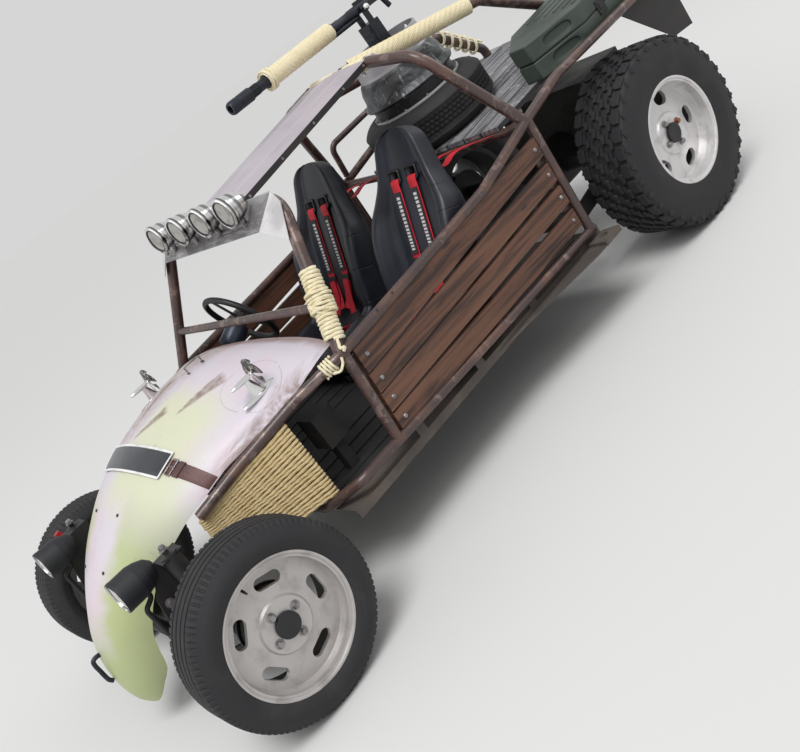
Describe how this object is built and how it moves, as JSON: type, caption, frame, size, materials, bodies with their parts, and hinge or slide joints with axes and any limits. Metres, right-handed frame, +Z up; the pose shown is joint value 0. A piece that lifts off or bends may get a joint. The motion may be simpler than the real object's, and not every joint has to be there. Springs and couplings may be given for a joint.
{
  "type": "rat rod",
  "caption": "Home-built open two-seat rat rod: tube frame on a saloon floorpan, plank sides, rounded bonnet, rope lashings and a prop gun turret on a board deck.",
  "frame": {"origin": "centre of the bounding box's base, on the ground under the car", "axes": "+X forward, +Y to the car's left, +Z up"},
  "size_m": [3.2994, 1.496, 1.4345],
  "materials": {
    "frame_steel": "rusted tube under clear lacquer",
    "floor_paint": "worn black floor paint, dusty",
    "axle_paint": "black chassis paint",
    "bonnet_paint": "faded pale green over pink-white primer with rust",
    "alloy_grey": "satin grey alloy",
    "alloy_silver": "bright machined alloy",
    "tyre_rubber": "black rubber, dusty",
    "rope": "pale natural rope",
    "plank_wood": "dark oiled planks",
    "deck_wood": "grey weathered boards",
    "sheet_metal": "dull aluminium sheet",
    "chrome": "chrome, lightly marked",
    "lamp_black": "matt black lamp pods",
    "seat_vinyl": "black vinyl",
    "harness_web": "red webbing",
    "belt_leather": "brown leather strap",
    "turret_steel": "bare dented wheel steel",
    "case_green": "moulded dark green plastic",
    "gun_black": "black prop parts",
    "engine_iron": "oily cast metal"
  },
  "bodies": {
    "chassis": {"battery_box": "floor_paint", "belt": "belt_leather", "bonnet": "bonnet_paint", "bonnet_fittings": "chrome", "bulkhead": "axle_paint", "case": "case_green", "cross_tube_front": "frame_steel", "cross_tube_tail": "frame_steel", "deck": "deck_wood", "deck_guard": "frame_steel", "engine_block": "engine_iron", "floorpan": "floor_paint", "front_axle": "axle_paint", "harness": "harness_web", "headlamp_left": "lamp_black", "headlamp_right": "lamp_black", "planks_left": "plank_wood", "planks_right": "plank_wood", "rail_lower_left": "frame_steel", "rail_lower_right": "frame_steel", "rail_upper_left": "frame_steel", "rail_upper_right": "frame_steel", "rear_axle": "axle_paint", "rear_guard_left": "axle_paint", "rear_guard_right": "axle_paint", "rear_hoop_left": "frame_steel", "rear_hoop_right": "frame_steel", "roof_panel": "sheet_metal", "rope_lashings": "rope", "rope_panel_left": "rope", "rope_panel_right": "rope", "screen_crossbar": "frame_steel", "screen_header": "frame_steel", "screen_post_left": "frame_steel", "screen_post_right": "frame_steel", "seats": "seat_vinyl", "shock_left": "axle_paint", "shock_right": "axle_paint", "spot_lamps": "chrome", "steering_column": "gun_black", "tail_stay_left": "frame_steel", "tail_stay_right": "frame_steel", "turret_rims": "turret_steel", "turret_tyre": "tyre_rubber", "visor": "sheet_metal"},
    "steering_wheel": {"steering_wheel": "gun_black"},
    "knuckle_left": {"knuckle_left": "axle_paint"},
    "knuckle_right": {"knuckle_right": "axle_paint"},
    "wheel_front_left": {"tyre_front_left": "tyre_rubber", "rim_front_left": "alloy_grey"},
    "wheel_front_right": {"tyre_front_right": "tyre_rubber", "rim_front_right": "alloy_grey"},
    "wheel_rear_left": {"tyre_rear_left": "tyre_rubber", "rim_rear_left": "alloy_silver"},
    "wheel_rear_right": {"tyre_rear_right": "tyre_rubber", "rim_rear_right": "alloy_silver"},
    "propeller_left": {"propeller_left": "chrome"},
    "propeller_right": {"propeller_right": "chrome"},
    "gun_swivel": {"gun_swivel": "gun_black"},
    "gun": {"gun": "gun_black"}
  },
  "joints": [
    {"name": "steer_left", "type": "hinge", "parent": "chassis", "child": "knuckle_left", "pos_m": [1.28, 0.55, 0.297], "axis": [0, 0, 1], "range_deg": [-22, 22]},
    {"name": "steer_right", "type": "hinge", "parent": "chassis", "child": "knuckle_right", "pos_m": [1.28, -0.55, 0.297], "axis": [0, 0, 1], "range_deg": [-22, 22]},
    {"name": "steering_wheel_turn", "type": "hinge", "parent": "chassis", "child": "steering_wheel", "pos_m": [0.392, -0.3, 0.755], "axis": [-0.9197, 0, 0.3927], "range_deg": [-308, 308]},
    {"name": "spin_front_left", "type": "hinge", "parent": "knuckle_left", "child": "wheel_front_left", "pos_m": [1.28, 0.653, 0.297], "axis": [0, 1, 0], "continuous": true},
    {"name": "spin_front_right", "type": "hinge", "parent": "knuckle_right", "child": "wheel_front_right", "pos_m": [1.28, -0.653, 0.297], "axis": [0, 1, 0], "continuous": true},
    {"name": "spin_rear_left", "type": "hinge", "parent": "chassis", "child": "wheel_rear_left", "pos_m": [-1.12, 0.605, 0.37], "axis": [0, 1, 0], "continuous": true},
    {"name": "spin_rear_right", "type": "hinge", "parent": "chassis", "child": "wheel_rear_right", "pos_m": [-1.12, -0.605, 0.37], "axis": [0, 1, 0], "continuous": true},
    {"name": "spin_propeller_left", "type": "hinge", "parent": "chassis", "child": "propeller_left", "pos_m": [0.78, 0.424, 0.798], "axis": [-1, 0, 0], "continuous": true},
    {"name": "spin_propeller_right", "type": "hinge", "parent": "chassis", "child": "propeller_right", "pos_m": [0.78, -0.424, 0.798], "axis": [-1, 0, 0], "continuous": true},
    {"name": "turret_swivel", "type": "hinge", "parent": "chassis", "child": "gun_swivel", "pos_m": [-0.7869, -0.115, 1.15381], "axis": [0.0536, 0, 0.9986], "continuous": true},
    {"name": "gun_pitch", "type": "hinge", "parent": "gun_swivel", "child": "gun", "pos_m": [-0.77404, -0.115, 1.39347], "axis": [0, -1, 0], "range_deg": [-5, 45]}
  ],
  "couplings": [
    {"joint": "steer_right", "follows": "steer_left", "ratio": 1},
    {"joint": "steering_wheel_turn", "follows": "steer_left", "ratio": 14}
  ]
}
